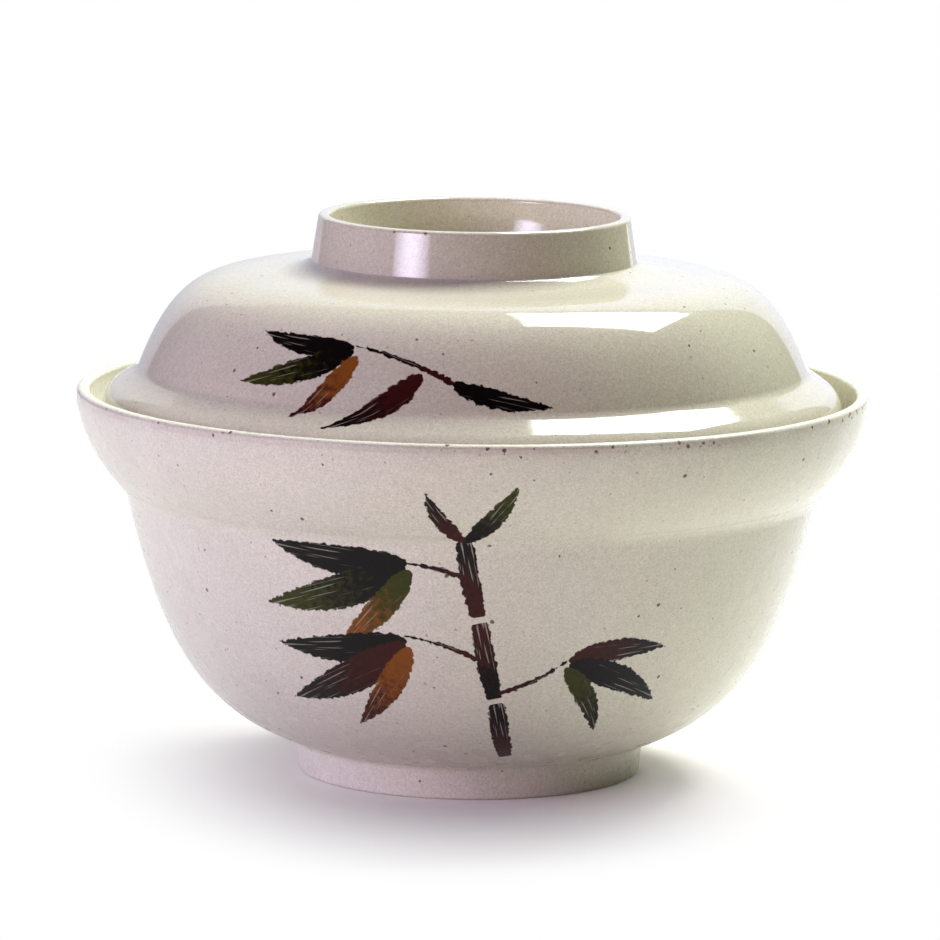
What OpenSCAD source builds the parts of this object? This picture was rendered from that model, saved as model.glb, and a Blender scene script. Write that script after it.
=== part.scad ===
// Covered soup bowl: a footed bowl with a flared collar, and a domed lid with a ring for a grip.
// Each piece is one moulded shell, drawn as a half section and turned about the Z axis.
// Millimetres. The table is at z = 0, and the lid sits on the bowl.

/* [Bowl] */
// Diameter across the rim
rim_d = 120; // [110:1:140]
// Height of the rim above the table
bowl_h = 58.7; // [54:0.1:72]
// Thickness of the wall
wall = 1.9; // [1.6:0.1:3]
// Thickness of the floor
floor_t = 2.4; // [1.6:0.1:3.4]
// Radius with which the wall turns into the floor, inside
floor_r = 40; // [20:1:55]

/* [Body] */
// Slope of the body where it leaves the foot, in degrees
heel_slope = 19; // [12:1:26]
// Length over which the heel keeps that slope
heel_pull = 13.8; // [10:0.1:18]
// Slope of the body under the step, in degrees
side_slope = 77; // [72:1:82]
// Length over which the side keeps that slope
side_pull = 24.4; // [16:0.1:28]

/* [Collar] */
// How far the collar flares out, from the step to the rim
collar_flare = 7.5; // [6:0.1:9]
// Height of the collar, from the step to the rim
collar_h = 15.5; // [13:0.1:19]
// Radius of the collar's bulge
collar_r = 23.6; // [20:0.1:34]
// Fillet in the corner of the step
step_fillet = 1.2; // [0.4:0.1:3]
// Height of the upright band below the rounded lip
lip_band = 1.3; // [0.4:0.1:2]
// Rounding of the lip's two edges
lip_round = 0.7; // [0.3:0.1:0.7]

/* [Foot] */
// Diameter of the foot where it stands
foot_d = 51.8; // [44:0.2:60]
// Height of the foot
foot_h = 5; // [4:0.1:8]
// How far the foot widens on its way up
foot_draft = 0.6; // [0.3:0.1:1.5]
// Width of the foot's ring where it stands
foot_w = 2.8; // [2:0.1:5]
// Rounding of the foot's lower edges
foot_round = 0.6; // [0.3:0.1:0.9]
// Fillet where the foot meets the body, outside and in the recess
foot_fillet = 1.2; // [0.4:0.1:2]

/* [Lid] */
// Thickness of the lid's wall
lid_wall = 2.2; // [1.6:0.1:2.8]
// Gap between the lid's edge and the rim, seen from above
lid_inset = 2.1; // [1.6:0.1:3.2]
// Clearance between the lid's edge and the slope that it sits on
seat_gap = 0.2; // [0.1:0.05:0.5]
// Width of the brim, from the lid's edge to the foot of the dome
brim_w = 5; // [4.6:0.1:8]
// Height of the brim, from the lid's edge to the foot of the dome
brim_h = 10.1; // [9:0.1:13]
// Slope of the brim, in degrees
brim_slope = 34; // [30:1:44]
// Radius with which the brim turns down into the edge
brim_r = 6; // [4:0.5:7]
// Fillet between the brim and the dome
dome_fillet = 2.4; // [1:0.1:4]

/* [Dome] */
// Height of the dome, from the brim to the grip ring
dome_h = 16; // [13:0.1:20]
// Slope of the dome's side where it leaves the brim, in degrees
dome_slope = 68; // [60:1:75]
// Length over which the side keeps that slope
dome_pull = 17; // [12:0.1:19]
// Slope of the crown where it meets the grip ring, in degrees
crown_slope = 7; // [6:0.5:14]
// Length over which the crown keeps that slope
crown_pull = 12.1; // [10:0.1:18]
// Thickness of the crown inside the grip ring
crown_t = 2.2; // [1.6:0.1:3]
// Radius with which the crown flattens towards the axis, inside
crown_r = 60; // [30:1:100]

/* [Grip ring] */
// Outer diameter of the grip ring at its base
ring_d = 49.8; // [40:0.2:58]
// Height of the grip ring above the crown
ring_h = 7.5; // [6:0.1:12]
// How far the grip ring narrows on its way up
ring_draft = 1.3; // [0.4:0.1:2]
// Width of the grip ring's top
ring_w = 1.7; // [1.5:0.1:3]
// Rounding of the grip ring's top edges
ring_round = 0.6; // [0.3:0.1:0.7]
// Fillet at the grip ring's base, outside
ring_fillet = 2.2; // [0.4:0.1:3]

/* [Dish] */
// Slope of the grip ring's inside under its rounded top, in degrees
dish_slope = 88; // [84:1:89]
// Length over which the inside keeps that slope
dish_pull = 4.8; // [3:0.1:5]
// How far the inside sweeps in, from the grip ring's top to the dish's floor
dish_sweep = 2.6; // [2:0.1:4]
// Length over which the sweep settles into the floor
dish_settle = 1.8; // [1:0.1:2]

/* [Hidden] */
$fn = 96;

// Largest gap between a round stretch and the flats that draw it
chord_gap = 0.004;
// Flats along each free curve
curve_n = 40;

// A place on a section is [radius, height, heading]: heading 0 points outwards and 90 points up.
function along(heading) = [cos(heading), sin(heading)];
function leftward(heading) = [-sin(heading), cos(heading)];
function spot(p) = [p[0], p[1]];
function heading(p) = p[2];
function backwards(track) = [for (i = [len(track) - 1:-1:0]) track[i]];

// Places round a centre, from one heading to another. A negative radius turns right.
function arc(centre, r, from, to) =
    let (n = ceil(abs(to - from) / (2 * acos(1 - chord_gap / abs(r)))))
    [for (i = [0:n])
        let (h = from + (to - from) * i / n, p = centre - r * leftward(h))
        [p[0], p[1], h]];

// Length that a fillet takes off each side of its corner
function bend_length(from, to, r) = r * tan(abs(to - from) / 2);

// A corner between two straight headings, rounded with a radius
function bend(corner, from, to, r) =
    let (turn = sign(to - from) * r, start = corner - bend_length(from, to, r) * along(from))
    arc(start + turn * leftward(from), turn, from, to);

// A free curve between two spots, which leaves each along its heading for about the pull given there
function curve(start, from, pull_from, end, to, pull_to) =
    let (a = start, b = start + pull_from * along(from), c = end - pull_to * along(to), d = end)
    [for (i = [0:curve_n])
        let (
            t = i / curve_n,
            u = 1 - t,
            p = u * u * u * a + 3 * u * u * t * b + 3 * u * t * t * c + t * t * t * d,
            v = u * u * (b - a) + 2 * u * t * (c - b) + t * t * (d - c)
        )
        [p[0], p[1], atan2(v[1], v[0])]];

// The inner face of a wall whose outer face is the track: each place moved left by the wall
function inner_face(track, thickness) =
    [for (p = track) concat(spot(p) + thickness * leftward(heading(p)), heading(p))];

// Turns a closed section about the axis
module turned(section) {
    rotate_extrude() polygon([for (p = section) spot(p)]);
}

// Bowl, derived
rim_r = rim_d / 2;
step = [rim_r - collar_flare, bowl_h - collar_h];
collar_top = [rim_r, bowl_h - lip_round - lip_band];
collar_rise = collar_top - step;
collar_half_turn = asin(norm(collar_rise) / 2 / collar_r);
collar_mid = atan2(collar_rise[1], collar_rise[0]);
collar_from = collar_mid - collar_half_turn;
collar_to = collar_mid + collar_half_turn;
collar_centre = step + collar_r * leftward(collar_from);

foot_top = [foot_d / 2 + foot_draft, foot_h];
foot_slope = atan2(foot_h, foot_draft);
heel_start = foot_top + bend_length(foot_slope, heel_slope, foot_fillet) * along(heel_slope);
step_trim = bend_length(side_slope, collar_from, step_fillet);
body_end = step - step_trim * along(side_slope);
collar_start = collar_from + 2 * asin(step_trim / 2 / collar_r);

body = curve(heel_start, heel_slope, heel_pull, body_end, side_slope, side_pull);
bowl_shell = concat(
    body,
    bend(step, side_slope, collar_from, step_fillet),
    arc(collar_centre, collar_r, collar_start, collar_to)
);
heel_inside = heel_start + wall * leftward(heel_slope);
floor_centre = heel_inside + floor_r * leftward(heel_slope);
floor_z = floor_centre[1] - floor_r;
recess_z = floor_z - floor_t;
recess_slope = atan2(-recess_z, foot_draft);

bowl_section = concat(
    bend([foot_d / 2, 0], 0, foot_slope, foot_round),
    bend(foot_top, foot_slope, heel_slope, foot_fillet),
    bowl_shell,
    bend([rim_r, bowl_h], 90, 180, lip_round),
    bend([rim_r - wall, bowl_h], 180, 270, lip_round),
    backwards(inner_face(bowl_shell, wall)),
    arc(floor_centre, -floor_r, 180 + heel_slope, 180),
    [[0, floor_z], [0, recess_z]],
    bend([foot_d / 2 - foot_w - foot_draft, recess_z], 0, recess_slope, foot_fillet),
    bend([foot_d / 2 - foot_w, 0], recess_slope, 0, foot_round)
);

// Lid, derived: its rounded edge sits on the collar's inner face
lid_r = rim_r - wall - lid_inset;
edge_r = lid_wall / 2;
edge_reach = lid_r - edge_r - collar_centre[0];
seat_reach = collar_r - wall - edge_r - seat_gap;
edge = [lid_r - edge_r, collar_centre[1] - sqrt(seat_reach * seat_reach - edge_reach * edge_reach)];

dome_foot = [lid_r - brim_w, edge[1] + brim_h];
brim_heading = 180 - brim_slope;
side_heading = 180 - dome_slope;
crown_heading = 180 - crown_slope;
brim_corner = dome_foot - brim_w / cos(brim_slope) * along(brim_heading);
dome_start = dome_foot + bend_length(brim_heading, side_heading, dome_fillet) * along(side_heading);

ring_foot = [ring_d / 2, dome_foot[1] + dome_h];
ring_top_z = ring_foot[1] + ring_h;
ring_top_r = ring_d / 2 - ring_draft;
ring_slope = atan2(ring_h, -ring_draft);
dome_end = ring_foot - bend_length(crown_heading, ring_slope, ring_fillet) * along(crown_heading);

dome = curve(dome_start, side_heading, dome_pull, dome_end, crown_heading, crown_pull);
lid_shell = concat(
    bend(brim_corner, 90, brim_heading, brim_r),
    bend(dome_foot, brim_heading, side_heading, dome_fillet),
    dome
);
crown_inside = dome_end + lid_wall * leftward(crown_heading);
crown_centre = crown_inside + crown_r * leftward(crown_heading);
ceiling_z = crown_centre[1] + crown_r;
dish_z = ceiling_z + crown_t;
dish_corner = [ring_top_r - ring_w, ring_top_z];
dish_heading = 180 + dish_slope;
dish_start = dish_corner + bend_length(180, dish_heading, ring_round) * along(dish_heading);
dish_end = [dish_corner[0] - dish_sweep, dish_z];

lid_section = concat(
    arc(edge, edge_r, -90, 90),
    lid_shell,
    bend(ring_foot, crown_heading, ring_slope, ring_fillet),
    bend([ring_top_r, ring_top_z], ring_slope, 180, ring_round),
    bend(dish_corner, 180, dish_heading, ring_round),
    curve(dish_start, dish_heading, dish_pull, dish_end, 180, dish_settle),
    [[0, dish_z], [0, ceiling_z]],
    arc(crown_centre, -crown_r, 0, -crown_slope),
    backwards(inner_face(lid_shell, lid_wall))
);

// The bowl: body, collar and foot ring in one shell
module bowl() {
    color([0.87, 0.84, 0.82]) turned(bowl_section);
}

// The lid: brim, dome and grip ring in one shell
module lid() {
    color([0.82, 0.79, 0.76]) turned(lid_section);
}

bowl();
lid();
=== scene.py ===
# %% [markdown]
# # A covered soup bowl
#
# The object is two mouldings of speckled melamine. One is a footed bowl whose collar flares above a step,
# and the other is a domed lid with a ring on top to lift it by. Both are round, so each is a half section
# turned about the Z axis, as clay is on a wheel. The measured model comes first, as a frame that nothing
# here moves or resizes, and its box gives the rim's radius and the bowl's height.

# %% Load the frame
import math

import bpy
import numpy as np
from mathutils import Matrix, Vector


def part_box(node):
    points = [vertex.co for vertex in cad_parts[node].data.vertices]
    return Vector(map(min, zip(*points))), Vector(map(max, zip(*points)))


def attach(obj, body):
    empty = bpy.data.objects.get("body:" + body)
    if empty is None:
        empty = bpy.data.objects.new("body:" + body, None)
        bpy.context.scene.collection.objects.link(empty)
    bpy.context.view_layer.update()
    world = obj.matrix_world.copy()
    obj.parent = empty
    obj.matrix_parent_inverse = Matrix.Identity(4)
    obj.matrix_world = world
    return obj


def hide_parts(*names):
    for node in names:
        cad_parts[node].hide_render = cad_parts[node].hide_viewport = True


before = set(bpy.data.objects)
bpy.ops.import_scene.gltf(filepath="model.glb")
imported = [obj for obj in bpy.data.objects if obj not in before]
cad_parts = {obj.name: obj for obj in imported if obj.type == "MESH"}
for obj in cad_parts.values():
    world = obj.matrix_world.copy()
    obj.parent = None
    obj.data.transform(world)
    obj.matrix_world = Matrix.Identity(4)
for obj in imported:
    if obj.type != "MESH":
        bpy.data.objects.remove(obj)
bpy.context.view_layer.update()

# %% [markdown]
# ## The camera
#
# The picture was taken with a long lens from a little above the table, about a metre away. A long lens
# keeps the ellipses of the rim and the foot nearly alike, so the camera comes first: its height over its
# distance sets how open those ellipses look, and every later comparison depends on it. A new camera looks
# straight down, so it is turned up by a right angle less its pitch.

# %% Place the camera
MM = 0.001
IMAGE_SIZE = 940
FOCAL_PIXELS = 7096.5
SENSOR_WIDTH = 36.0
CAMERA_DISTANCE = 1065.9 * MM
CAMERA_HEIGHT = 210.2 * MM
CAMERA_SIDE = -0.3 * MM
CAMERA_PITCH = 8.761
CAMERA_ROLL = 0.642


def add_object(name, data):
    """A new object in the scene, which holds a mesh, a lamp or a lens."""
    added = bpy.data.objects.new(name, data)
    bpy.context.scene.collection.objects.link(added)
    return added


lens = bpy.data.cameras.new("camera")
lens.sensor_fit = "HORIZONTAL"
lens.sensor_width = SENSOR_WIDTH
lens.lens = FOCAL_PIXELS * SENSOR_WIDTH / IMAGE_SIZE
camera = add_object("camera", lens)
camera.matrix_world = (
    Matrix.Translation((CAMERA_SIDE, -CAMERA_DISTANCE, CAMERA_HEIGHT))
    @ Matrix.Rotation(math.radians(90 - CAMERA_PITCH), 4, "X")
    @ Matrix.Rotation(math.radians(CAMERA_ROLL), 4, "Z")
)
bpy.context.scene.camera = camera
bpy.context.scene.view_settings.view_transform = "Standard"
print(f"camera: {lens.lens:.0f} mm lens")

# %% [markdown]
# ## Drawing a section
#
# A lathe needs half a section. It is drawn here the way a draughtsman walks round it: each place is a
# radius, a height and the heading of the pencil there, with 0 pointing outwards and 90 pointing up. Arcs
# round the corners, and free curves with a heading at each end make the swelling sides. The heading pays
# off twice. A wall of even thickness is the same track stepped sideways, and the exact normal of the
# turned surface is the heading turned by a right angle, so gloss runs over the surface without facets.

# %% Tracks of places
OUT, UP, IN, DOWN = 0, 90, 180, 270
ARC_STEP, ARC_LEAST = 4.0, 3
CURVE_PLACES = 56


def along(heading):
    """The unit step in a heading: its cosine outwards and its sine upwards."""
    turn = np.radians(heading)
    return np.stack([np.cos(turn), np.sin(turn)], axis=-1)


def leftward(heading):
    """The unit step a right angle to the left of a heading."""
    return along(np.asarray(heading) + 90)


def arc(centre, radius, start, stop):
    """Places round a centre: each lies the radius to the right of it. A negative radius turns right."""
    heading = np.linspace(start, stop, ARC_LEAST + int(abs(stop - start) / ARC_STEP))
    return np.column_stack([centre - radius * leftward(heading), heading])


def bend_length(start, stop, radius):
    """What a round takes off each side of its corner: the radius times the tangent of half the turn."""
    return radius * math.tan(math.radians(abs(stop - start) / 2))


def bend(corner, start, stop, radius):
    """A corner between two straight headings, rounded by the arc that touches both."""
    turn = math.copysign(radius, stop - start)
    first = corner - bend_length(start, stop, radius) * along(start)
    return arc(first + turn * leftward(start), turn, start, stop)


def curve(first, start, pull_start, last, stop, pull_stop):
    """A cubic Bezier curve, which leaves each end along its heading for about the pull given there."""
    t = np.linspace(0, 1, CURVE_PLACES)[:, None]
    u = 1 - t
    near, far = first + pull_start * along(start), last - pull_stop * along(stop)
    spot = u**3 * first + 3 * u * u * t * near + 3 * u * t * t * far + t**3 * last
    step = u * u * (near - first) + 2 * u * t * (far - near) + t * t * (last - far)
    return np.column_stack([spot, np.degrees(np.arctan2(step[:, 1], step[:, 0]))])


def inner_face(track, wall):
    """The other face of a wall, walked back: each place stepped left by the wall, its heading reversed."""
    spot = track[:, :2] + wall * leftward(track[:, 2])
    return np.column_stack([spot, track[:, 2] + 180])[::-1]


print("tracks: a rounded right angle takes", len(bend(np.zeros(2), OUT, UP, 1.0)), "places")

# %% [markdown]
# ## Turning a section into a piece
#
# The two parameters of a turned surface are the place on the section and the azimuth round the axis. Here
# azimuth 0 faces the camera and grows to the right. The first and last places of each section lie on the
# axis, so the skin closes at two poles and has no open edge. Its UV map is flat paper wrapped round the
# piece: one way is the distance round at a chosen radius, the other is the distance walked along the
# section from its widest place. A picture painted on that paper follows the wall, and the paper's join is
# at the back.

# %% Vertices, faces and paper of a skin
COLUMNS = 192
PAPER = "paper"


def carried(r, z, azimuth):
    """The first place, which is a pole, each place between carried round the axis to (r sin a, -r cos a, z),
    and the last pole."""
    ring_r, ring_z = r[1:-1, None], z[1:-1, None]
    x, y, z_round = np.broadcast_arrays(ring_r * np.sin(azimuth), -ring_r * np.cos(azimuth), ring_z)
    rings = np.stack([x, y, z_round], axis=-1).reshape(-1, 3)
    return np.concatenate([[[0, 0, z[0]]], rings, [[0, 0, z[-1]]]])


def skin_faces(rings):
    """The corners of each face as numbers of vertices: a fan of triangles round the first pole, a band of
    quads from each ring to the next, and a fan round the last pole."""
    vertex = 1 + np.arange(rings * COLUMNS).reshape(rings, COLUMNS)
    beside = np.roll(vertex, -1, axis=1)
    first_pole, last_pole = np.zeros(COLUMNS, int), np.full(COLUMNS, 1 + rings * COLUMNS)
    first_fan = np.stack([first_pole, beside[0], vertex[0]], axis=-1)
    quads = np.stack([vertex[:-1], beside[:-1], beside[1:], vertex[1:]], axis=-1).reshape(-1, 4)
    last_fan = np.stack([vertex[-1], beside[-1], last_pole], axis=-1)
    return first_fan.tolist() + quads.tolist() + last_fan.tolist()


def paper_corners(around, walk):
    """The paper coordinates of the same corners, in the same order: the distance round and the distance
    walked. A triangle's corner at a pole lies midway between its other two."""
    rings = np.stack(np.meshgrid(around, walk[1:-1]), axis=-1)
    left, right = rings[:, :-1], rings[:, 1:]
    middle = (around[:-1] + around[1:]) / 2
    first_pole = np.column_stack([middle, np.full(COLUMNS, walk[0])])
    last_pole = np.column_stack([middle, np.full(COLUMNS, walk[-1])])
    first_fan = np.stack([first_pole, right[0], left[0]], axis=1)
    quads = np.stack([left[:-1], right[:-1], right[1:], left[1:]], axis=2)
    last_fan = np.stack([left[-1], right[-1], last_pole], axis=1)
    return np.concatenate([corners.reshape(-1, 2) for corners in (first_fan, quads, last_fan)])


print("skins:", COLUMNS, "columns round the axis")


# %% A turned skin
def turned(name, section, paper_radius):
    """Carries each place (r, z) round the axis to (r sin a, -r cos a, z), with its normal a right angle
    to the right of its heading, and lays the paper coordinates (a times paper_radius, walk) over it."""
    radius, height, heading = section.T
    walk = np.append(0, np.cumsum(np.hypot(np.diff(radius), np.diff(height))))
    walk -= walk[np.argmax(radius)]
    azimuth = np.linspace(-math.pi, math.pi, COLUMNS + 1)
    out, up = -leftward(heading).T
    spots = carried(radius, height, azimuth[:-1]) * MM
    normals = carried(out, up, azimuth[:-1])
    paper = paper_corners(azimuth * paper_radius, walk) * MM

    mesh = bpy.data.meshes.new(name)
    mesh.from_pydata(spots, [], skin_faces(len(section) - 2))
    mesh.uv_layers.new(name=PAPER).uv.foreach_set("vector", paper.ravel())
    mesh.shade_smooth()
    mesh.normals_split_custom_set_from_vertices(normals)
    mesh.validate()
    print(f"{name}: {len(mesh.vertices)} vertices, {len(section)} places on the section")
    return add_object(name, mesh)


# %% [markdown]
# ## The bowl
#
# The bowl stands on a low foot ring with a recess inside it. Its side swells up and out to a step, and
# above the step a collar flares to a rounded lip. A short upright band runs under the lip, with a soft
# crease below it. The rim's radius and height are read from the frame, and the other sizes are written
# once, in millimetres.

# %% Sizes of the bowl
rim_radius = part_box("bowl")[1].x / MM
bowl_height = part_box("bowl")[1].z / MM
BOWL_WALL = 1.9
FLOOR_THICKNESS, FLOOR_RADIUS = 2.4, 40.0
HEEL_SLOPE, HEEL_PULL = 19.0, 13.8
SIDE_SLOPE, SIDE_PULL = 77.0, 24.4
COLLAR_FLARE, COLLAR_HEIGHT, COLLAR_RADIUS = 7.5, 15.5, 23.6
STEP_FILLET = 4.0
LIP_BAND, LIP_ROUND, BAND_CREASE = 1.3, 0.7, 5.0
FOOT_RADIUS, FOOT_HEIGHT, FOOT_DRAFT, FOOT_WIDTH = 25.9, 5.0, 0.6, 2.8
FOOT_ROUND, FOOT_FILLET = 0.6, 1.2
BOWL_PAPER = 50.0
print(f"bowl: {2 * rim_radius:.1f} mm across the rim, {bowl_height:.1f} mm high")

# %% Corners of the bowl
step = np.array([rim_radius - COLLAR_FLARE, bowl_height - COLLAR_HEIGHT])
collar_top = np.array([rim_radius, bowl_height - LIP_ROUND - LIP_BAND])
collar_rise = collar_top - step
collar_middle = math.degrees(math.atan2(collar_rise[1], collar_rise[0]))
collar_half_turn = math.degrees(math.asin(np.linalg.norm(collar_rise) / 2 / COLLAR_RADIUS))
collar_foot = collar_middle - collar_half_turn
collar_head = collar_middle + collar_half_turn
collar_centre = step + COLLAR_RADIUS * leftward(collar_foot)

foot_top = np.array([FOOT_RADIUS + FOOT_DRAFT, FOOT_HEIGHT])
foot_slope = math.degrees(math.atan2(FOOT_HEIGHT, FOOT_DRAFT))
foot_inside = FOOT_RADIUS - FOOT_WIDTH
heel = foot_top + bend_length(foot_slope, HEEL_SLOPE, FOOT_FILLET) * along(HEEL_SLOPE)
floor_centre = heel + (BOWL_WALL + FLOOR_RADIUS) * leftward(HEEL_SLOPE)
floor_z = floor_centre[1] - FLOOR_RADIUS
recess_z = floor_z - FLOOR_THICKNESS
recess_slope = math.degrees(math.atan2(-recess_z, FOOT_DRAFT))
step_trim = bend_length(SIDE_SLOPE, collar_foot, STEP_FILLET)
crease_trim = bend_length(collar_head, UP, BAND_CREASE)
print(f"bowl: step at {step.round(2)}, floor at {floor_z:.2f}, recess at {recess_z:.2f}")


# %% Turn the bowl
def collar_turn(chord):
    """How far the collar's arc turns over a chord: twice the arc sine of half of it over the radius."""
    return math.degrees(2 * math.asin(chord / 2 / COLLAR_RADIUS))


collar_start = collar_foot + collar_turn(step_trim)
collar_stop = collar_head - collar_turn(crease_trim)
bowl_shell = np.concatenate([
    curve(heel, HEEL_SLOPE, HEEL_PULL, step - step_trim * along(SIDE_SLOPE), SIDE_SLOPE, SIDE_PULL),
    bend(step, SIDE_SLOPE, collar_foot, STEP_FILLET),
    arc(collar_centre, COLLAR_RADIUS, collar_start, collar_stop),
])
bowl_section = np.concatenate([
    [[0, recess_z, OUT]],
    bend(np.array([foot_inside - FOOT_DRAFT, recess_z]), OUT, recess_slope, FOOT_FILLET),
    bend(np.array([foot_inside, 0]), recess_slope, OUT, FOOT_ROUND),
    bend(np.array([FOOT_RADIUS, 0]), OUT, foot_slope, FOOT_ROUND),
    bend(foot_top, foot_slope, HEEL_SLOPE, FOOT_FILLET),
    bowl_shell,
    bend(collar_top, collar_head, UP, BAND_CREASE),
    bend(np.array([rim_radius, bowl_height]), UP, IN, LIP_ROUND),
    bend(np.array([rim_radius - BOWL_WALL, bowl_height]), IN, DOWN, LIP_ROUND),
    inner_face(bowl_shell, BOWL_WALL),
    arc(floor_centre, -FLOOR_RADIUS, IN + HEEL_SLOPE, IN),
    [[0, floor_z, IN]],
])
bowl = turned("bowl_shell", bowl_section, BOWL_PAPER)

# %% [markdown]
# ## The lid
#
# The lid's rounded edge sits inside the collar, so its height follows from where that edge meets the
# collar's inner face. From the edge a brim slopes in, a concave fillet turns it up into the dome, and the
# dome flattens into a crown that carries the grip ring. The crown runs up to the ring in a long soft blend
# that ends in a tight corner, which an arc can't do, so it is a free curve. Inside, the ring sweeps down
# into a shallow dish, and turned over it becomes the lid's foot.

# %% Sizes of the lid
LID_WALL, LID_INSET, SEAT_GAP = 2.2, 2.1, 0.2
BRIM_WIDTH, BRIM_HEIGHT, BRIM_SLOPE, BRIM_RADIUS = 5.0, 10.1, 34.0, 4.2
DOME_FILLET = 2.4
DOME_HEIGHT, DOME_SLOPE, DOME_PULL = 15.7, 68.0, 17.0
CROWN_SLOPE, CROWN_PULL, CROWN_THICKNESS, CROWN_RADIUS = 7.0, 9.7, 2.2, 60.0
RING_RADIUS, RING_HEIGHT, RING_DRAFT, RING_WIDTH = 24.9, 7.8, 1.3, 1.7
RING_ROUND, RING_FILLET = 0.6, 2.2
BLEND_OUT, BLEND_OUT_PULL, BLEND_UP, BLEND_UP_PULL = 4.0, 2.8, 1.0, 0.25
DISH_SLOPE, DISH_PULL, DISH_SWEEP, DISH_SETTLE = 88.0, 4.8, 2.6, 1.8
LID_PAPER = 42.0

lid_radius = rim_radius - BOWL_WALL - LID_INSET
edge_radius = LID_WALL / 2
edge_reach = lid_radius - edge_radius - collar_centre[0]
seat_reach = COLLAR_RADIUS - BOWL_WALL - edge_radius - SEAT_GAP
edge = np.array([lid_radius - edge_radius, collar_centre[1] - math.sqrt(seat_reach**2 - edge_reach**2)])
print(f"lid: {2 * lid_radius:.1f} mm across, its edge seated at {edge.round(2)}")

# %% Corners of the lid
brim_heading, side_heading, crown_heading = IN - BRIM_SLOPE, IN - DOME_SLOPE, IN - CROWN_SLOPE
dome_foot = np.array([lid_radius - BRIM_WIDTH, edge[1] + BRIM_HEIGHT])
brim_corner = dome_foot - BRIM_WIDTH / math.cos(math.radians(BRIM_SLOPE)) * along(brim_heading)
dome_start = dome_foot + bend_length(brim_heading, side_heading, DOME_FILLET) * along(side_heading)
ring_foot = np.array([RING_RADIUS, dome_foot[1] + DOME_HEIGHT])
ring_top = ring_foot + [-RING_DRAFT, RING_HEIGHT]
ring_slope = math.degrees(math.atan2(RING_HEIGHT, -RING_DRAFT))
dome_end = ring_foot - BLEND_OUT * along(crown_heading)
ring_start = ring_foot + BLEND_UP * along(ring_slope)

crown_end = ring_foot - bend_length(crown_heading, ring_slope, RING_FILLET) * along(crown_heading)
crown_centre = crown_end + (LID_WALL + CROWN_RADIUS) * leftward(crown_heading)
ceiling_z = crown_centre[1] + CROWN_RADIUS
dish_z = ceiling_z + CROWN_THICKNESS
dish_heading = IN + DISH_SLOPE
dish_corner = ring_top - [RING_WIDTH, 0]
dish_start = dish_corner + bend_length(IN, dish_heading, RING_ROUND) * along(dish_heading)
dish_end = np.array([dish_corner[0] - DISH_SWEEP, dish_z])

# %% Turn the lid
lid_shell = np.concatenate([
    bend(brim_corner, UP, brim_heading, BRIM_RADIUS),
    bend(dome_foot, brim_heading, side_heading, DOME_FILLET),
    curve(dome_start, side_heading, DOME_PULL, dome_end, crown_heading, CROWN_PULL),
])
lid_section = np.concatenate([
    [[0, ceiling_z, OUT]],
    arc(crown_centre, -CROWN_RADIUS, OUT, -CROWN_SLOPE),
    inner_face(lid_shell, LID_WALL),
    arc(edge, edge_radius, -UP, UP),
    lid_shell,
    curve(dome_end, crown_heading, BLEND_OUT_PULL, ring_start, ring_slope, BLEND_UP_PULL),
    bend(ring_top, ring_slope, IN, RING_ROUND),
    bend(dish_corner, IN, dish_heading, RING_ROUND),
    curve(dish_start, dish_heading, DISH_PULL, dish_end, IN, DISH_SETTLE),
    [[0, dish_z, IN]],
])
lid = turned("lid_shell", lid_section, LID_PAPER)

# %% [markdown]
# ## Shader maths in plain expressions
#
# A material is a net of nodes, and a long sum of nodes is hard to read. A wire wraps one socket, and the
# usual operators add the Math node that does the sum, so a mask is written as a formula. Every other node
# comes from one method of the bench, which sets the node's own settings first and then its sockets.


# %% Wires
class Wire:
    """A value on its way through a node tree. Each operator adds one Math node to its bench."""

    def __init__(self, bench, socket):
        self.bench = bench
        self.socket = socket

    def maths(self, operation, *values):
        return self.bench.node("ShaderNodeMath", {"operation": operation}, dict(enumerate(values)))

    def __add__(self, other):
        return self.maths("ADD", self, other)

    def __sub__(self, other):
        return self.maths("SUBTRACT", self, other)

    def __rsub__(self, other):
        return self.maths("SUBTRACT", other, self)

    def __mul__(self, other):
        return self.maths("MULTIPLY", self, other)

    def __pow__(self, other):
        return self.maths("POWER", self, other)

    def __abs__(self):
        return self.maths("ABSOLUTE", self)

    __radd__ = __add__
    __rmul__ = __mul__

    def larger(self, other):
        return self.maths("MAXIMUM", self, other)

    def smaller(self, other):
        return self.maths("MINIMUM", self, other)

    def ramp(self, low, high):
        """0 below low and 1 above high, with a smooth step between them. The ends may be swapped."""
        settings = {"interpolation_type": "SMOOTHSTEP"}
        return self.bench.node("ShaderNodeMapRange", settings, {0: self, 1: low, 2: high})

    def beside(self, output):
        """Another output of the node that this value comes from, by name or number."""
        return Wire(self.bench, self.socket.node.outputs[output])


# %% Benches
# The Mix node has many sockets of one name, so its colour sockets go by number
MIX_UNDER, MIX_OVER, MIX_RESULT = 6, 7, 2


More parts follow.
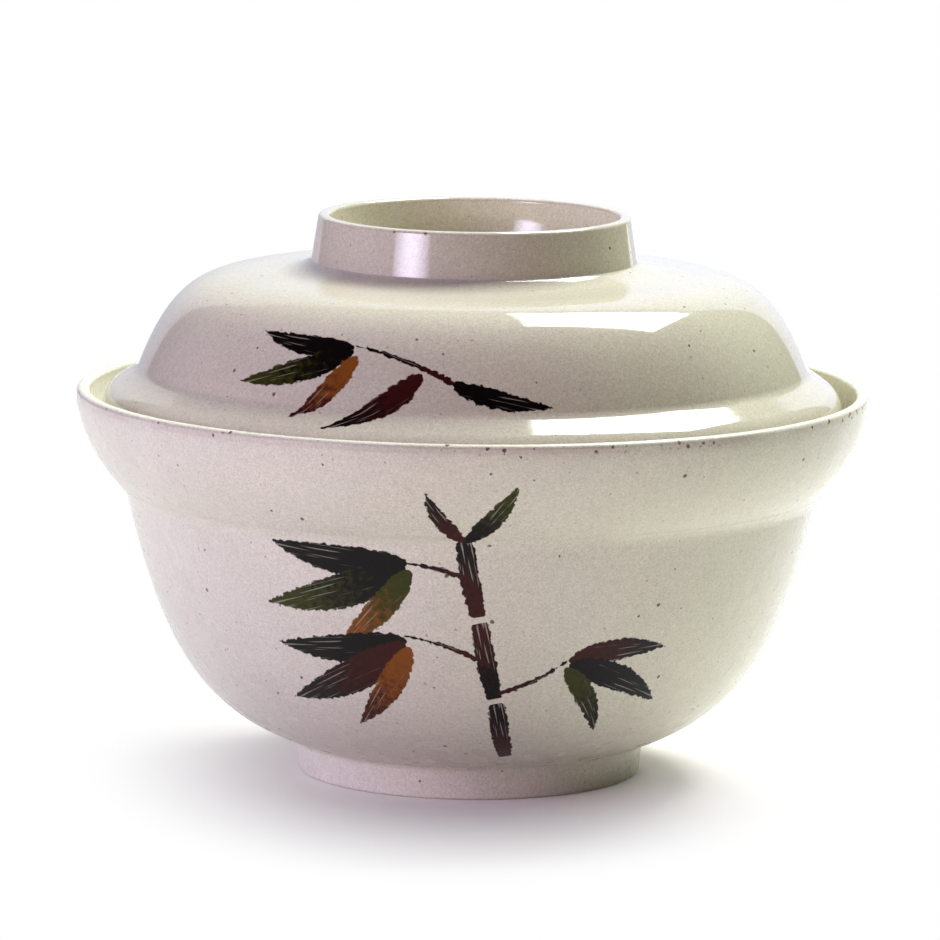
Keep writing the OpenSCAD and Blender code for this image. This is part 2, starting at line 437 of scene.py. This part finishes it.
class Bench:
    """A node tree to work at."""

    def __init__(self, tree):
        self.tree = tree
        tree.nodes.clear()

    def node(self, kind, settings, inputs, output=0):
        """Adds a node of a kind, sets its settings, then its sockets by name or number, and gives a wire."""
        node = self.tree.nodes.new(kind)
        for setting, value in settings.items():
            setattr(node, setting, value)
        for socket, value in inputs.items():
            if isinstance(value, Wire):
                self.tree.links.new(value.socket, node.inputs[socket])
            else:
                node.inputs[socket].default_value = value
        return Wire(self, node.outputs[output]) if node.outputs else node

    def vector(self, operation, *values, output=0):
        """Vector maths on whole colours and vectors. Output 1 is a plain number, such as a length."""
        return self.node("ShaderNodeVectorMath", {"operation": operation}, dict(enumerate(values)), output)

    def parts(self, vector):
        """The X, Y and Z of a vector as three wires."""
        split = self.node("ShaderNodeSeparateXYZ", {}, {0: vector})
        return [split.beside(axis) for axis in "XYZ"]

    def mix(self, factor, under, over):
        """One colour laid over another, as much as the factor says."""
        sockets = {0: factor, MIX_UNDER: under, MIX_OVER: over}
        return self.node("ShaderNodeMix", {"data_type": "RGBA"}, sockets, MIX_RESULT)

    def noise(self, vector, size, detail=2.0, twist=0.0):
        """Cloudy noise from 0 to 1, in lumps of about that size. A twist curls the lumps."""
        sockets = {"Vector": vector, "Scale": 1 / size, "Detail": detail, "Distortion": twist}
        return self.node("ShaderNodeTexNoise", {}, sockets)


def material_bench(name):
    """A new material and the bench of its node tree."""
    material = bpy.data.materials.new(name)
    material.use_nodes = True
    return material, Bench(material.node_tree)


# %% [markdown]
# ## Painted strokes
#
# The ware carries a brush-painted spray of bamboo, the old subject of ink painting: a jointed cane and
# pointed leaves, in black, olive, maroon and rust. Each stroke is a mask on the piece's paper. A Mapping
# node lays the paper along the stroke, so one coordinate runs from 0 to 1 along it and the other runs
# across. The stroke is where the distance from its bowed middle line is less than its half width, which is
# a product of two powers, so a leaf starts full and ends in a point. Noise frays the edge and leaves
# streaks where the brush ran dry.

# %% Brush strokes
INK = {
    "black": (0.005, 0.003, 0.003, 1),
    "olive": (0.040, 0.044, 0.006, 1),
    "maroon": (0.045, 0.007, 0.006, 1),
    "rust": (0.230, 0.072, 0.012, 1),
}
INK_EDGE, INK_CHANGE = (-0.05, 0.12), (0.2, 0.9)
PAST_END = 4.0
STREAKS_ALONG, STREAKS_PER_MM = 2.5, 3.2
STREAK_GROWTH, STREAK_EDGE = 0.22, (0.50, 0.62)


def stroke(bench, paper, fray, at, angle, length, width, bow, head, tail, dry):
    """How much ink a brush stroke leaves, 1 inside it and 0 outside, and how far along the stroke it lies.

    With t along the stroke and s across it, both in lengths of the stroke, the middle line is
    4 bow t (1 - t) and the half width goes as t to the power head times (1 - t) to the power tail.
    Past its ends t (1 - t) is below zero, and takes the half width down with it. Streaks along the
    stroke open where the brush runs dry, more and more towards its end."""
    peak = head / (head + tail)
    full = width / 2 / length / (peak**head * (1 - peak) ** tail)
    laid = bench.node("ShaderNodeMapping", {"vector_type": "TEXTURE"}, {
        "Vector": paper,
        "Location": (at[0] * MM, at[1] * MM, 0),
        "Rotation": (0, 0, math.radians(angle)),
        "Scale": (length * MM, length * MM, 1),
    })
    t, s, _ = bench.parts(laid)
    left = 1 - t
    swell = t * left
    off_line = abs(s - swell * (4 * bow))
    half_width = t**head * left**tail * full + swell.smaller(0) * PAST_END
    bristles = bench.vector("MULTIPLY", laid, (STREAKS_ALONG, STREAKS_PER_MM * length, 1))
    streaks = bench.noise(bristles, 1.0, detail=1.0)
    worn = (streaks + (t - 1) * STREAK_GROWTH).ramp(*STREAK_EDGE) * dry
    inked = ((half_width - off_line) * length + fray).ramp(*INK_EDGE)
    return inked * (1 - worn), t


print("inks:", ", ".join(INK))

# %% [markdown]
# ## Leaves, canes and twigs
#
# The spray needs three kinds of stroke, and each is the same brush with other numbers. A leaf swells and
# then tapers, a joint of the cane is nearly even and blunt, and a twig is a thin line. Sizes are in
# millimetres on the paper, angles in degrees from the right, and each stroke shades from one ink at its
# start to another at its tip.


# %% Three kinds of stroke
def bamboo_leaf(at, angle, length, ink="black", tip="black", bow=0.05, slim=0.23):
    """A leaf's stroke: a quick point at the stalk, full a third of the way out and a long tip."""
    place = dict(at=at, angle=angle, length=length, width=slim * length)
    return dict(place, bow=bow, head=0.55, tail=0.9, dry=0.3), ink, tip


def cane(at, angle, length, width, ink="maroon", tip="black"):
    """A cane's joint: nearly even in width, with blunt ends."""
    place = dict(at=at, angle=angle, length=length, width=width)
    return dict(place, bow=0.02, head=0.10, tail=0.10, dry=0.4), ink, tip


def twig(at, angle, length, width=0.9, ink="maroon", tip="black"):
    """A thin twig, pressed harder where it leaves the cane."""
    place = dict(at=at, angle=angle, length=length, width=width)
    return dict(place, bow=-0.05, head=0.10, tail=0.5, dry=0.4), ink, tip


# %% The two sprays
BOWL_STROKES = [
    cane((8.0, -57), 104, 14.5, 3.4),
    cane((4.2, -42), 102, 13.5, 3.1, "black", "maroon"),
    cane((1.2, -27.8), 100, 12.5, 2.8, "maroon", "black"),
    twig((0.2, -22), 165, 10),
    twig((3.2, -36), 160, 14),
    twig((4.6, -41), 28, 13),
    bamboo_leaf((-9.0, -19.5), 174, 21),
    bamboo_leaf((-9.2, -20), 198, 24, "black", "olive"),
    bamboo_leaf((-8.6, -20.5), 227, 18, "olive", "rust"),
    bamboo_leaf((-9.6, -32), 185, 22),
    bamboo_leaf((-9.8, -32.6), 207, 25, "maroon", "black"),
    bamboo_leaf((-9.2, -33), 234, 19, "rust", "maroon"),
    bamboo_leaf((15.6, -35.4), 4, 17, "maroon", "black"),
    bamboo_leaf((15.8, -36), -24, 20),
    bamboo_leaf((15.2, -36.6), -56, 16, "olive", "black"),
    bamboo_leaf((-0.8, -15.8), 60, 13, "black", "olive", -0.05),
    bamboo_leaf((-1.0, -15.8), 116, 11, "maroon", "black"),
]
LID_STROKES = [
    twig((-2.0, 17), 158, 15),
    bamboo_leaf((-16.0, 22.2), 174, 15),
    bamboo_leaf((-16.0, 21.8), 202, 17, "black", "olive"),
    bamboo_leaf((-15.4, 21), 236, 13, "rust", "maroon"),
    bamboo_leaf((-6.4, 18.6), 222, 15, "maroon", "black"),
    bamboo_leaf((-2.6, 17.2), -16, 13, "black", "black", -0.05),
]
print(f"strokes: {len(BOWL_STROKES)} on the bowl, {len(LID_STROKES)} on the lid")

# %% [markdown]
# ## The speckled ware
#
# Melamine is a hard moulded plastic that was coloured and flecked to look like stoneware. It is a warm
# off-white with soft tonal clouds, fine grain and scattered dark specks. The specks are Voronoi points:
# wherever the skin passes close to one, it cuts a small disc out of it, so the specks vary in size by
# themselves and have no seam. A faint broken brown wash with more specks runs along the widest place of
# each piece, which on the bowl is the band under its lip, and darkens that narrow band.

# %% Clouds, grain, specks and wash
WARE = (0.795, 0.745, 0.580, 1)
WARE_SHADE = (0.585, 0.545, 0.415, 1)
SPECK = (0.055, 0.038, 0.030, 1)
FAINT_SPECK = (0.360, 0.290, 0.240, 1)
LIP_BROWN = (0.400, 0.270, 0.185, 1)
CLOUD_SIZE, CLOUD_EDGE, CLOUD_SHARE = 14 * MM, (0.35, 0.65), 0.1
GRAIN_SIZE, GRAIN_EDGE, GRAIN_SHARE, GRAIN_TWIST = 0.36 * MM, (0.30, 0.70), 0.9, 1.5
SPECK_EDGE, WOBBLE_SIZE, WOBBLE_REACH = 0.18, 1.1 * MM, 0.6 * MM
SPECK_KINDS = [(2.0 * MM, 0.26 * MM, 0.7, FAINT_SPECK), (3.5 * MM, 0.37 * MM, 0.85, SPECK)]
LIP_SPECK_SPACING, LIP_SPECK_SIZE, LIP_SPECK_STRENGTH = 1.2 * MM, 0.45 * MM, 0.9
WASH_PLACE, WASH_FADE, WASH_STRENGTH = 0.8 * MM, (0.8 * MM, 0.3 * MM), 0.22
BREAK_SIZE, BREAK_EDGE = 16 * MM, (0.28, 0.52)


def specks(bench, where, spacing, size):
    """1 within a speck: the distance to the nearest scattered point is less than a size that each point has
    by chance. A wobble of the place makes the specks less round."""
    wobble = bench.noise(where, WOBBLE_SIZE, detail=1.0).beside("Color")
    centred = bench.vector("SUBTRACT", wobble, (0.5, 0.5, 0.5))
    shaken = bench.vector("MULTIPLY_ADD", centred, (WOBBLE_REACH,) * 3, where)
    sockets = {"Vector": shaken, "Scale": 1 / spacing}
    distance = bench.node("ShaderNodeTexVoronoi", {"feature": "F1"}, sockets, "Distance")
    chance = bench.parts(distance.beside("Color"))[0]
    return (chance * (size / spacing) - distance).ramp(0, SPECK_EDGE * size / spacing)


def speckled_ware(bench, where, walk, tone_and_painted_light):
    """The colour of the bare ware: clouds and grain between two shades, times tone_and_painted_light,
    then each kind of speck, and the wash and the specks of the lip, one laid over the other."""
    clouds = bench.noise(where, CLOUD_SIZE).ramp(*CLOUD_EDGE)
    grain = bench.noise(where, GRAIN_SIZE, twist=GRAIN_TWIST).ramp(*GRAIN_EDGE)
    ware = bench.mix(clouds * CLOUD_SHARE + grain * GRAIN_SHARE, WARE, WARE_SHADE)
    ware = bench.vector("MULTIPLY", ware, tone_and_painted_light)
    for spacing, size, strength, colour in SPECK_KINDS:
        ware = bench.mix(specks(bench, where, spacing, size) * strength, ware, colour)
    # A broken brown band along the widest place, darker there, with more specks in it
    broken = bench.noise(where, BREAK_SIZE).ramp(*BREAK_EDGE)
    wash = abs(walk - WASH_PLACE).ramp(*WASH_FADE) * broken
    ware = bench.mix(wash * WASH_STRENGTH, ware, LIP_BROWN)
    lip_specks = specks(bench, where, LIP_SPECK_SPACING, LIP_SPECK_SIZE) * wash
    return bench.mix(lip_specks * LIP_SPECK_STRENGTH, ware, SPECK)


print("specks:", len(SPECK_KINDS), "kinds all over, one along the lip")

# %% [markdown]
# ## The finish
#
# The ink was fused into the wall under pressure, so it lies under the same smooth hard skin as the ware and
# changes the colour alone. The skin's gloss comes from the shader: the lid is polished and mirrors the
# lamps with sharp edges, and the bowl is duller, so that light spreads over it softly. Faint noise in the
# roughness keeps the reflections from looking like glass.

# %% The melamine
FRAY_SIZE, FRAY_DETAIL, FRAY_REACH = 0.9 * MM, 3.0, 1.3
DULL_SIZE, DULL_EDGE, DULL_GAIN = 5 * MM, (0.3, 0.7), 0.04
MELAMINE_IOR = 1.5


def painted(bench, paper, ware, strokes):
    """The ware with its strokes laid over it one after the other, each in two inks and with a frayed edge."""
    fray = (bench.noise(paper, FRAY_SIZE, FRAY_DETAIL) - 0.5) * FRAY_REACH
    for shape, ink, tip in strokes:
        inked, t = stroke(bench, paper, fray, **shape)
        colour = bench.mix((t + fray).ramp(*INK_CHANGE), INK[ink], INK[tip])
        ware = bench.mix(inked, ware, colour)
    return ware


def melamine(name, tone_and_painted_light, roughness, shine, strokes):
    """The speckled plastic with its painted strokes, as a material. tone_and_painted_light multiplies the
    ware's colour and paints light on the piece, and the shine says how much of the room its skin mirrors,
    0.5 being bare plastic."""
    material, bench = material_bench(name)
    where = bench.node("ShaderNodeTexCoord", {}, {}, "Object")
    paper = bench.node("ShaderNodeUVMap", {"uv_map": PAPER}, {})
    walk = bench.parts(paper)[1]
    ware = speckled_ware(bench, where, walk, tone_and_painted_light)
    dull = bench.noise(where, DULL_SIZE).ramp(*DULL_EDGE)
    skin = bench.node("ShaderNodeBsdfPrincipled", {}, {
        "Base Color": painted(bench, paper, ware, strokes),
        "Roughness": roughness + dull * DULL_GAIN,
        "IOR": MELAMINE_IOR,
        "Specular IOR Level": shine,
    })
    bench.node("ShaderNodeOutputMaterial", {}, {"Surface": skin})
    print(f"{name}: {len(bench.tree.nodes)} nodes, {len(strokes)} strokes")
    return material


# Painted light: the bowl's multiplier lifts and blues the ware and the lid's darkens it, for the light on
# each
BOWL_TONE_AND_LIGHT, BOWL_ROUGHNESS, BOWL_SHINE = (1.07, 1.115, 1.185), 0.26, 0.15
LID_TONE_AND_SHADE, LID_ROUGHNESS, LID_SHINE = (0.955, 0.96, 0.965), 0.06, 0.5

bowl_finish = melamine("bowl_melamine", BOWL_TONE_AND_LIGHT, BOWL_ROUGHNESS, BOWL_SHINE, BOWL_STROKES)
lid_finish = melamine("lid_melamine", LID_TONE_AND_SHADE, LID_ROUGHNESS, LID_SHINE, LID_STROKES)
bowl.data.materials.append(bowl_finish)
lid.data.materials.append(lid_finish)

# %% [markdown]
# ## Fixing the pieces to the frame
#
# Each skin stands for the solid of its name and rides on that solid's body, so the lid lifts off when the
# joint moves.

# %% Ride on the bodies
for piece, node in ((bowl, "bowl"), (lid, "lid")):
    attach(piece, node)
    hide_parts(node)
    print(f"{piece.name} rides on {node}")

# %% [markdown]
# ## The studio
#
# The picture was lit for a catalogue: a bright sheet behind the ware, a large soft lamp above and behind
# it on the right, a smaller one in front on the left with a bluish fill beside it, and a dim room in front.
# Gloss shows each of them as a shape, so they are area lamps of the right size and place and not one even
# sky. An area lamp's power is its brightness times its area times pi. The fill only lights, and so does the
# front lamp, because its face is brightest in the middle, which an area lamp can't be. That face follows
# with the sheets. Places and sizes in the studio are in metres.

# %% Lamps
LID_TOP = (0, 0, 0.07)


def soft_lamp(name, place, target, size, brightness, colour, turn=0, shines=True):
    """A rectangular lamp at a place, facing a target and turned about that line by degrees, as bright as
    given next to white paper at 1. It may light surfaces without shining in their gloss."""
    lamp = bpy.data.lights.new(name, "AREA")
    lamp.shape = "RECTANGLE"
    lamp.size, lamp.size_y = size
    lamp.energy = brightness * size[0] * size[1] * math.pi
    lamp.color = colour
    holder = add_object(name, lamp)
    facing = (Vector(target) - Vector(place)).to_track_quat("-Z", "Y")
    turned_by = Matrix.Rotation(math.radians(turn), 4, "Z")
    holder.matrix_world = Matrix.Translation(place) @ facing.to_matrix().to_4x4() @ turned_by
    holder.visible_camera = False
    holder.visible_glossy = shines
    print(f"{name}: {lamp.energy:.1f} W")


soft_lamp(
    "lamp_above", place=(0.374, 0.50, 0.97), target=(0.374, 0.50, 0), size=(0.55, 0.63),
    brightness=24.4, colour=(0.96, 1.0, 0.985), turn=7,
)
soft_lamp(
    "lamp_front_left", place=(-0.68, -0.66, 0.29), target=LID_TOP, size=(0.46, 0.40),
    brightness=6.5, colour=(0.99, 0.72, 1.0), shines=False,
)
soft_lamp(
    "fill_left", place=(-0.95, -0.20, 0.30), target=LID_TOP, size=(0.40, 0.40),
    brightness=6.1, colour=(0.53, 0.62, 1.0), shines=False,
)

# %% [markdown]
# ## Paper and table
#
# The ware stands on a sheet of white paper, which keeps its shadow and throws light up under the bowl, on
# a darker table. Away from the ware both fade to a painted white for the camera, as the overexposed sheet
# in the picture does. The fade starts from an ellipse set a little behind the ware, so it also paints out
# the far part of the cast shadow. In gloss both glow with a painted reflection of lamp-lit paper, which is
# brighter on the right, where the large lamp hangs.

# %% Sheets that lie flat
WHITE = (1, 1, 1, 1)
SQUARE = ((-1, -1), (1, -1), (1, 1), (-1, 1))
PAPER_REACH, PAPER_WHITE = 0.17, (0.88, 0.845, 0.80, 1)
TABLE_REACH, TABLE_DARK = 2.6, (0.46, 0.43, 0.38, 1)
# The painted white fades in from this ellipse, set behind the ware and longer front to back
SHADE_CENTRE, SHADE_SIZE = (1 * MM, 8 * MM, 0), (41 * MM, 66 * MM, 1)
SHADE_FADE = (0.4, 1.5)
# Painted reflection: in gloss the sheets glow brighter on the right, where the large lamp lights them
MIRROR_LEFT, MIRROR_RIGHT = (1.1, 1.15, 1.12, 1), (1.95, 2.0, 2.05, 1)
MIRROR_FADE = (0, 0.12)


def flat_sheet(name, corners):
    """A flat sheet with four corners, for the studio."""
    mesh = bpy.data.meshes.new(name)
    mesh.from_pydata(corners, [], [(0, 1, 2, 3)])
    holder = add_object(name, mesh)
    return holder


def lying_sheet(name, reach, height, colour):
    """A square sheet lying flat, matte near the ware, fading past an ellipse into painted white."""
    sheet = flat_sheet(name, [(x * reach, y * reach, height) for x, y in SQUARE])
    material, bench = material_bench(f"{name}_matte")
    where = bench.node("ShaderNodeTexCoord", {}, {}, "Object")
    sockets = {"Vector": where, "Location": SHADE_CENTRE, "Scale": SHADE_SIZE}
    spread = bench.node("ShaderNodeMapping", {"vector_type": "TEXTURE"}, sockets)
    distance = bench.vector("LENGTH", spread, output=1)
    rays = bench.node("ShaderNodeLightPath", {}, {})
    in_gloss = rays.beside("Is Glossy Ray")
    seen = rays.beside("Is Camera Ray").larger(in_gloss).larger(rays.beside("Is Transmission Ray"))
    matte = bench.node("ShaderNodeBsdfDiffuse", {}, {"Color": colour})
    # Painted light: white for the camera past the ellipse, and a painted reflection in gloss
    painted_gloss_white = bench.mix(bench.parts(where)[0].ramp(*MIRROR_FADE), MIRROR_LEFT, MIRROR_RIGHT)
    light = bench.mix(in_gloss, WHITE, painted_gloss_white)
    glow = bench.node("ShaderNodeEmission", {}, {"Color": light, "Strength": 1.0})
    painted_white = distance.ramp(*SHADE_FADE) * seen
    faded = bench.node("ShaderNodeMixShader", {}, {0: painted_white, 1: matte, 2: glow})
    bench.node("ShaderNodeOutputMaterial", {}, {"Surface": faded})
    sheet.data.materials.append(material)
    print(f"{name}: {2 * reach:.2f} m wide")


lying_sheet("paper", PAPER_REACH, 0, PAPER_WHITE)
lying_sheet("table", TABLE_REACH, -MM, TABLE_DARK)

# %% [markdown]
# ## Sheets that glow
#
# The face of the front lamp is a sheet that is seen only in gloss, and it dims from its middle to both
# sides. Another sheet hangs behind the ware. It is lit from the right, so it glows less and less towards
# the left, and the gloss of the lid's crown shows where it ends.

# %% The front lamp's face
BLACK = (0, 0, 0, 1)
SHINE_PLACE, SHINE_SIZE = Vector((-0.69, -0.67, 0.29)), (0.46, 0.42)
SHINE_COLOUR, SHINE_FADE = (14.4, 13.4, 18.0, 1), (0.32, 0)


def let_glow(sheet, material, bench, light):
    """Gives a sheet a material that sends out light of a colour and reflects none."""
    glow = bench.node("ShaderNodeEmission", {}, {"Color": light, "Strength": 1.0})
    bench.node("ShaderNodeOutputMaterial", {}, {"Surface": glow})
    sheet.data.materials.append(material)
    print(f"{sheet.name}: {len(bench.tree.nodes)} nodes")


ahead = (Vector(LID_TOP) - SHINE_PLACE).normalized()
across = ahead.cross((0, 0, 1)).normalized()
half_across, half_up = SHINE_SIZE[0] / 2 * across, SHINE_SIZE[1] / 2 * across.cross(ahead)
shine_face = flat_sheet("shine_front_left", [SHINE_PLACE + a * half_across + b * half_up for a, b in SQUARE])
shine_face.visible_camera = False
shine_face.visible_diffuse = False
shine_face.visible_shadow = False

lamp_face, bench = material_bench("lamp_face")
where = bench.node("ShaderNodeTexCoord", {}, {}, "Object")
aside = bench.vector("DOT_PRODUCT", where, across, output=1)
let_glow(shine_face, lamp_face, bench, bench.mix(abs(aside).ramp(*SHINE_FADE), BLACK, SHINE_COLOUR))

# %% The sheet behind
BACK_PLACE, BACK_TOP = 0.85, 0.84
BACK_LEFT, BACK_RIGHT = -0.55, 0.51
BACK_DIM, BACK_BRIGHT = (0.57, 0.60, 0.69, 1), (0.85, 0.88, 1.12, 1)
BACK_FADE = (-0.20, 0.10)

corners = [(BACK_LEFT, 0), (BACK_RIGHT, 0), (BACK_RIGHT, BACK_TOP), (BACK_LEFT, BACK_TOP)]
back = flat_sheet("sheet_behind", [(x, BACK_PLACE, z) for x, z in corners])
back.visible_camera = False

back_paper, bench = material_bench("sheet_paper")
to_right = bench.parts(bench.node("ShaderNodeTexCoord", {}, {}, "Object"))[0]
let_glow(back, back_paper, bench, bench.mix(to_right.ramp(*BACK_FADE), BACK_DIM, BACK_BRIGHT))

# %% [markdown]
# ## The room
#
# The rest of the room is nearly dark, so that the lamps and sheets alone shape the ware. The camera sees
# plain white past the table.

# %% Room
ROOM_DIM = (0.01, 0.01, 0.01, 1)

room = bpy.data.worlds.new("room")
room.use_nodes = True
bpy.context.scene.world = room
bench = Bench(room.node_tree)
dim = bench.node("ShaderNodeBackground", {}, {"Color": ROOM_DIM, "Strength": 1.0})
white = bench.node("ShaderNodeBackground", {}, {"Color": WHITE, "Strength": 1.0})
seen = bench.node("ShaderNodeLightPath", {}, {}).beside("Is Camera Ray")
light = bench.node("ShaderNodeMixShader", {}, {0: seen, 1: dim, 2: white})
bench.node("ShaderNodeOutputWorld", {}, {"Surface": light})
print("room: white for the camera,", ROOM_DIM[0], "for everything else")
